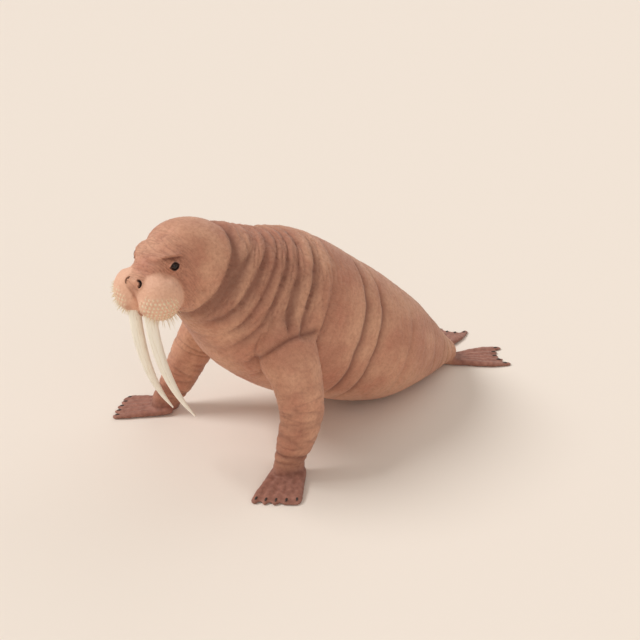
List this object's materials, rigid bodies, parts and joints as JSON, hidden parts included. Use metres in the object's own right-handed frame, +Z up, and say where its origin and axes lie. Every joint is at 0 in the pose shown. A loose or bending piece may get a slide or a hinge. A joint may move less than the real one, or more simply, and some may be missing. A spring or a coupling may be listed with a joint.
{
  "type": "walrus",
  "caption": "Life-size still model of a walrus bull, propped up on its fore flippers with its belly and hind flippers on the floor.",
  "frame": {"origin": "on the floor, near the middle of the flat on which the rear of the belly rests", "axes": "+Z up, the head towards -Y and the tail towards +Y, the animal's left side towards +X"},
  "size_m": [1.7862, 3.1031, 1.6249],
  "materials": {
    "body_hide": "matt thick wrinkled hide with sparse short hair, cinnamon brown",
    "muzzle_hide": "matt bristly whisker pad, paler and pinker than the body",
    "flipper_hide": "rough bare hide of the flippers, dark brown",
    "ivory": "satin ivory with fine lengthwise cracks",
    "eye": "wet, near black brown",
    "claw": "dull dark horn",
    "whisker": "stiff translucent cream bristle"
  },
  "bodies": {
    "root": {"arm_left": "body_hide", "arm_right": "body_hide", "belly": "body_hide", "claw_hand_left_1": "claw", "claw_hand_left_2": "claw", "claw_hand_left_3": "claw", "claw_hand_left_4": "claw", "claw_hand_left_5": "claw", "claw_hand_right_1": "claw", "claw_hand_right_2": "claw", "claw_hand_right_3": "claw", "claw_hand_right_4": "claw", "claw_hand_right_5": "claw", "claw_hind_flipper_left_1": "claw", "claw_hind_flipper_left_2": "claw", "claw_hind_flipper_left_3": "claw", "claw_hind_flipper_left_4": "claw", "claw_hind_flipper_left_5": "claw", "claw_hind_flipper_right_1": "claw", "claw_hind_flipper_right_2": "claw", "claw_hind_flipper_right_3": "claw", "claw_hind_flipper_right_4": "claw", "claw_hind_flipper_right_5": "claw", "eye_left": "eye", "eye_right": "eye", "hand_left": "flipper_hide", "hand_right": "flipper_hide", "head": "body_hide", "hind_flipper_left": "flipper_hide", "hind_flipper_right": "flipper_hide", "lower_jaw": "body_hide", "neck": "body_hide", "rump": "body_hide", "shoulders": "body_hide", "tail": "body_hide", "tusk_left": "ivory", "tusk_right": "ivory", "whisker_pad_left": "muzzle_hide", "whisker_pad_right": "muzzle_hide"}
  },
  "joints": []
}
